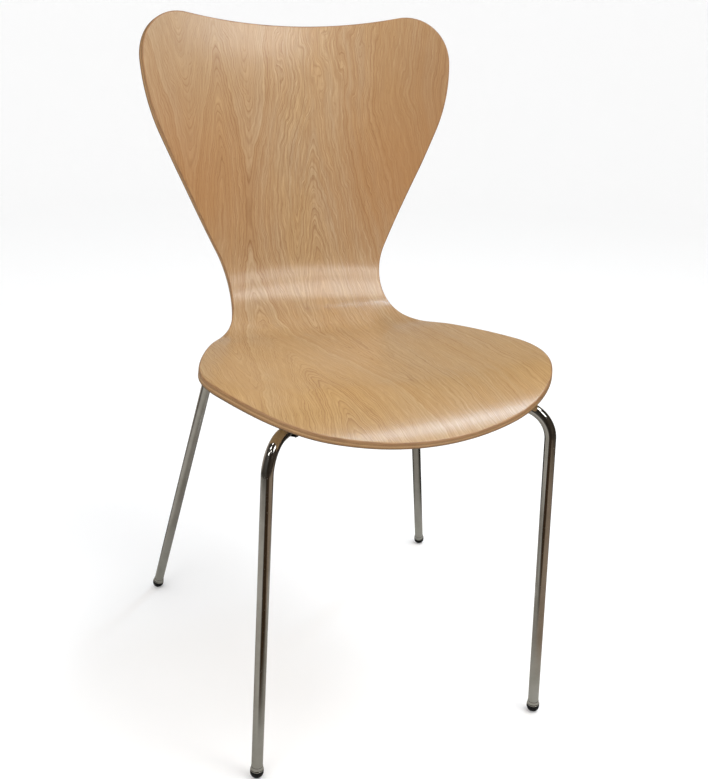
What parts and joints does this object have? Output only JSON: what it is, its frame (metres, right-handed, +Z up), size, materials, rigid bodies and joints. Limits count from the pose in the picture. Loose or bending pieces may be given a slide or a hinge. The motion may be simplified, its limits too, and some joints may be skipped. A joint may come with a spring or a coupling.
{
  "type": "stacking chair",
  "caption": "Stacking chair: a waisted one-piece moulded plywood shell with dished seat and wrapped back, on splayed bent chromed tube legs with black glides.",
  "frame": {"origin": "on the floor, under the middle of the chair's bounding box", "axes": "+Z up, -Y the way the sitter faces, +X to the right as seen from the front"},
  "size_m": [0.4836, 0.5352, 0.8814],
  "materials": {
    "face_veneer": "satin clear lacquer over flat-sawn veneer",
    "core_veneer": "lacquered veneer edge, light",
    "cross_veneer": "lacquered veneer end grain, dark",
    "tube_chrome": "polished chrome plate",
    "zinc_steel": "bright zinc plate",
    "black_rubber": "matt moulded rubber",
    "black_plastic": "fine matt moulded plastic"
  },
  "bodies": {
    "root": {"seat_face_veneer": "face_veneer", "upper_cross_ply": "cross_veneer", "core_ply": "core_veneer", "lower_cross_ply": "cross_veneer", "back_face_veneer": "face_veneer", "tee_nuts": "zinc_steel", "plate_pad": "black_rubber", "mounting_plate": "zinc_steel", "plate_washers": "zinc_steel", "plate_spring_washers": "zinc_steel", "plate_screws": "zinc_steel", "front_left_leg": "tube_chrome", "front_right_leg": "tube_chrome", "rear_left_leg": "tube_chrome", "rear_right_leg": "tube_chrome", "front_left_bumper": "black_rubber", "front_right_bumper": "black_rubber", "rear_left_bumper": "black_rubber", "rear_right_bumper": "black_rubber", "front_left_ferrule": "tube_chrome", "front_right_ferrule": "tube_chrome", "rear_left_ferrule": "tube_chrome", "rear_right_ferrule": "tube_chrome", "front_left_glide": "black_plastic", "front_right_glide": "black_plastic", "rear_left_glide": "black_plastic", "rear_right_glide": "black_plastic", "cover_boss": "zinc_steel", "plate_cover": "black_plastic", "cover_screw": "zinc_steel"}
  },
  "joints": []
}
